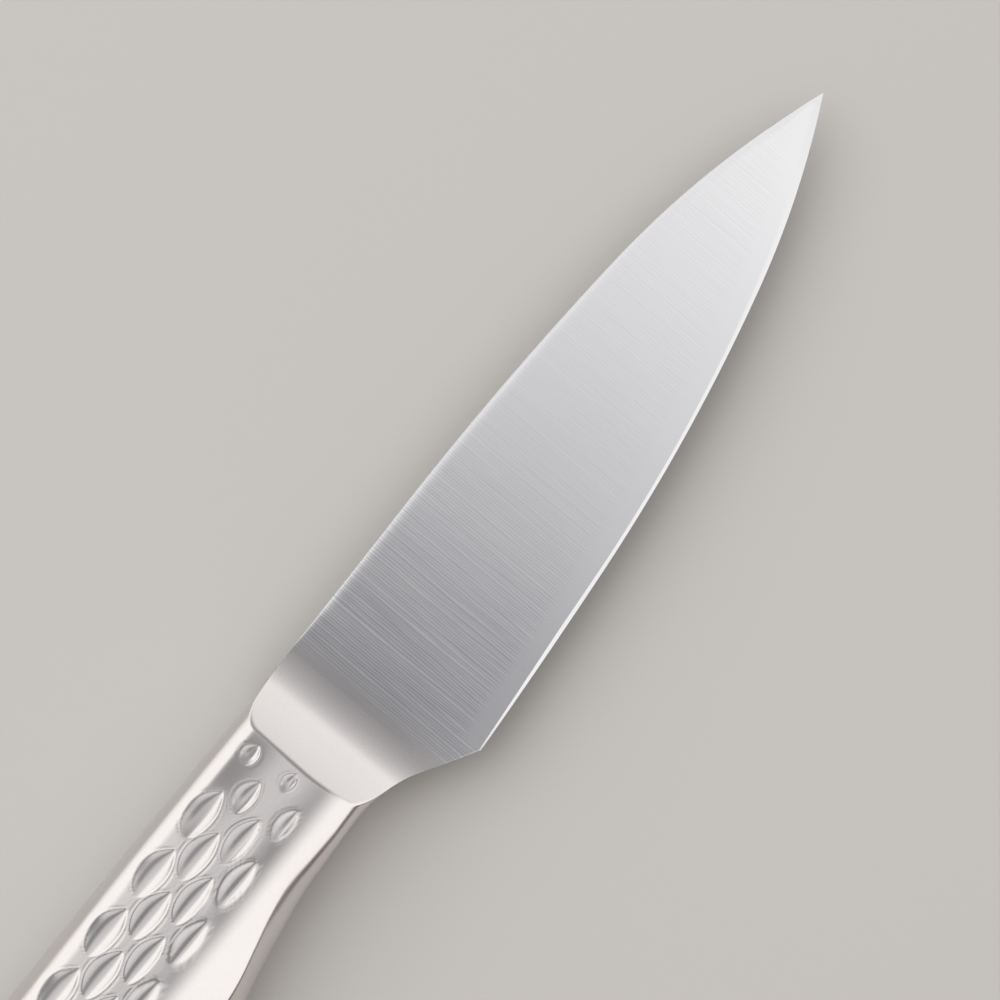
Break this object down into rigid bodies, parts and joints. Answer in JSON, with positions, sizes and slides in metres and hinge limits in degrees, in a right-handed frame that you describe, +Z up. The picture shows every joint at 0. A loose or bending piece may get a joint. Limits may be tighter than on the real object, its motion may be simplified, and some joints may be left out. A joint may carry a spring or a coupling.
{
  "type": "paring knife",
  "caption": "Small kitchen knife made wholly of stainless steel, with a tapered blade and a hollow handle pressed with staggered lens-shaped grip dimples.",
  "frame": {"origin": "middle of the underside of the box round the knife, which lies on its left side", "axes": "+X along the knife towards the tip, +Y towards the spine, +Z up through the thickness"},
  "size_m": [0.235, 0.0304, 0.0145],
  "materials": {
    "blade_steel": "fine hairlines from spine to edge",
    "handle_steel": "bead-blasted satin",
    "weld_steel": "ground flush and bead-blasted satin",
    "sand": "loose dry sand"
  },
  "bodies": {
    "root": {"blade": "blade_steel", "handle_shell_right": "handle_steel", "handle_shell_left": "handle_steel", "blade_weld_right": "weld_steel", "blade_weld_left": "weld_steel", "spine_seam_weld": "weld_steel", "belly_seam_weld": "weld_steel", "butt_seam_weld": "weld_steel", "fill_plug": "weld_steel", "balance_sand": "sand"}
  },
  "joints": []
}
